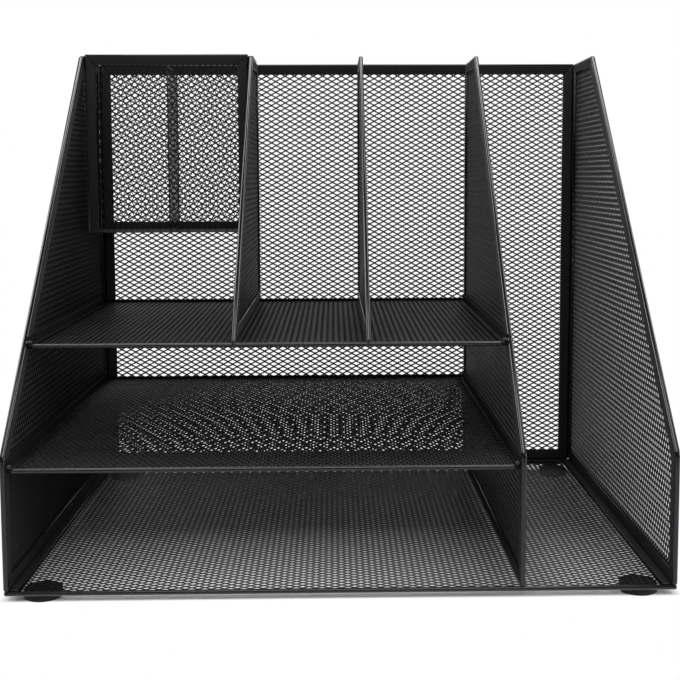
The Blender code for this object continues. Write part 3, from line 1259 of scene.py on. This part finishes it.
@dataclass
class Studio:
    """A white sweep under soft light."""

    reach: float = 1.15
    front_reach: float = 0.85
    wall_distance: float = 1.6
    wall_height: float = 8.0
    sweep_radius: float = 0.8
    sweep_steps: int = 16
    floor_colour: Colour = (0.66, 0.66, 0.66, 1.0)
    # The glow under the organizer is painted light: it rises towards the front and into the middle
    # of each bay, is painted darker towards the uprights, and a band along the front wire gets
    # none.
    shade_middle: float = 0.07
    shade_size: Pair = (0.18, 0.08)
    shade_rise: float = 6.2
    bays: tuple[FloorBay, ...] = (FloorBay(-0.046, 0.154), FloorBay(0.154, 0.046, 0.55))
    bay_drop: float = 0.62
    edge_size: Pair = (0.2, 0.142)
    edge_rise: float = 190.0
    wire_line: float = -0.1405
    wire_shade: float = 0.0025
    fill: float = 0.08
    lights: tuple[SoftLight, ...] = (
        SoftLight("back left light", (-0.55, 0.5, 1.95), (0.9, 0.5), 10.0),
        SoftLight("back right light", (0.55, 0.5, 1.95), (0.9, 0.5), 10.0),
        SoftLight("front top light", (0.0, -1.25, 1.85), (1.6, 0.9), 22.0),
        SoftLight("left light", (-1.6, 0.25, 1.4), (0.85, 1.2), 26.0),
        SoftLight("right light", (1.6, 0.25, 1.4), (0.85, 1.2), 18.0),
        SoftLight("low right light", (1.5, -0.2, 0.3), (0.8, 0.4), 8.0),
    )

    def build(self) -> None:
        """Makes the sweep, the lights and the world."""
        self._sweep()
        for light in self.lights:
            light.build()
        self._world()
        bpy.context.scene.view_settings.view_transform = "Standard"

    @staticmethod
    def _seen(graph: Graph) -> Signal:
        """One for rays from the camera, from gloss and through glass, else nought."""
        outputs = ("Is Camera Ray", "Is Glossy Ray", "Is Transmission Ray")
        rays = [graph.node("ShaderNodeLightPath", {}, {}, name) for name in outputs]
        return (rays[0] + rays[1] + rays[2]).at_most(1.0)

    @staticmethod
    def _outside(across: Signal, along: Signal, half: Pair) -> Signal:
        """How far a place on the floor lies outside an oblong of half sizes, nought inside."""
        beside, beyond = abs(across) - half[0], abs(along) - half[1]
        return beside.at_least(beyond).at_least(0.0)

    def _painted_bay_light(self, across: Signal) -> Signal:
        """The painted light between two uprights, standing in for light from the front.

        Args:
            across: The place to the right of the middle.

        Returns:
            One in the middle of a bay, falling off towards the uprights as painted shade.
        """
        painted_dark: Value = 1.0
        for bay in self.bays:
            off = (across - bay.centre) * (1.0 / bay.half_width)
            painted_dark = (off * off + bay.dimmed).at_most(painted_dark)
        return 1.0 - painted_dark * self.bay_drop

    def _whiteness(self, graph: Graph) -> Signal:
        """How white the sweep looks to the camera: under the organizer its glow is painted light
        that rises towards the front and into the middle of each bay, and a band along the front
        wire gets none, so the wire's real shadow shows there.

        Args:
            graph: The sweep's graph.

        Returns:
            One for white, nought where only the light counts.
        """
        place = graph.place()
        across, along = (
            graph.node("ShaderNodeSeparateXYZ", {}, {0: place}, way) for way in ("X", "Y")
        )
        shade = self._outside(across, along - self.shade_middle, self.shade_size)
        edge = self._outside(across, along, self.edge_size)
        # Painted light: the glow under the organizer rises out of the shade, is painted darker
        # towards the uprights, and is kept off a band along the front wire, where the wire's real
        # shadow shows.
        beyond_wire = abs(along - self.wire_line) - self.wire_shade
        painted_glow_past_wire = (beyond_wire * self.edge_rise).at_least(0.0).at_most(1.0)
        under = shade * self.shade_rise * painted_glow_past_wire * self._painted_bay_light(across)
        clear = (under + edge * self.edge_rise).at_most(1.0)
        return self._seen(graph) * clear

    def _sweep(self) -> None:
        """Models the floor and the wall behind as one curved sweep."""
        clear_bench()
        bpy.ops.mesh.primitive_plane_add(size=2 * self.reach)
        sweep = made("white_sweep")
        with editing(sweep, Pick.CORNERS):
            pick(Pick.CORNERS, lambda place, _: place.y < 0)
            bpy.ops.transform.translate(value=(0, self.reach - self.front_reach, 0))
            pick(Pick.CORNERS, lambda place, _: place.y > 0)
            bpy.ops.transform.translate(value=(0, self.wall_distance - self.reach, 0))
            pick(Pick.EDGES, lambda place, _: place.y > self.wall_distance - MM)
            bpy.ops.mesh.spin(
                steps=self.sweep_steps,
                angle=-math.pi / 2,
                center=(0, self.wall_distance, self.sweep_radius),
                axis=(1, 0, 0),
            )
            bpy.ops.mesh.extrude_edges_move(
                TRANSFORM_OT_translate={"value": (0, 0, self.wall_height)}
            )
        take_up(sweep)
        bpy.ops.object.shade_smooth()
        sweep.data.materials.append(self._sweep_finish())

    def _sweep_finish(self) -> bpy.types.Material:
        """Makes the sweep's material: matt to the light, white to look at, with painted light
        under the organizer.

        Returns:
            The finished material.
        """
        material, graph = Graph.of_material("white sweep")
        matt = graph.node("ShaderNodeBsdfDiffuse", {}, {"Color": self.floor_colour})
        white = graph.node("ShaderNodeEmission", {}, {"Strength": 1.0})
        share = self._whiteness(graph)
        both = graph.node("ShaderNodeMixShader", {}, {0: share, 1: matt, 2: white})
        graph.node("ShaderNodeOutputMaterial", {}, {"Surface": both})
        return material

    def _world(self) -> None:
        """Makes the surroundings: white to look at, a faint fill for the light."""
        world = bpy.data.worlds.new("studio")
        bpy.context.scene.world = world
        world.use_nodes = True
        graph = Graph(world.node_tree)
        camera = graph.node("ShaderNodeLightPath", {}, {}, "Is Camera Ray")
        strength = camera + (1.0 - camera) * self.fill
        shell = graph.node(
            "ShaderNodeBackground", {}, {"Color": (1.0, 1.0, 1.0, 1.0), "Strength": strength}
        )
        graph.node("ShaderNodeOutputWorld", {}, {"Surface": shell})


UPRIGHT_SIDES = ("front", "top", "back", "bottom")
BACK_SIDES = ("top", "bottom", "left", "right")


def main() -> None:
    """Builds the organizer, the studio and the camera."""
    logging.basicConfig(level=logging.INFO, format="%(message)s")
    finishes = Finishes()
    uprights = (f"{side}_upright" for side in ("left", "centre", "right"))
    assemblies = [
        Base(),
        FramedPanel("back_panel", Lay.WALL_ACROSS, BACK_SIDES),
        *(FramedPanel(name, Lay.SIDE_UPRIGHT, UPRIGHT_SIDES) for name in uprights),
        Tray("lower_tray", Lay.FLOOR_INWARD, TRAY_WEAVE),
        Tray("upper_tray", Lay.FLOOR_ACROSS, FLOOR_WEAVE),
        Divider("divider_1", Lay.SIDE_UPRIGHT, UPRIGHT_SIDES, TURNED_WEAVE),
        Divider("divider_2", Lay.SIDE_UPRIGHT, UPRIGHT_SIDES),
        PenPocket(),
    ]
    for assembly in assemblies:
        assembly.dress(finishes)
    Studio().build()
    PhotoCamera().build()
    clear_bench()


if __name__ == "__main__":
    main()
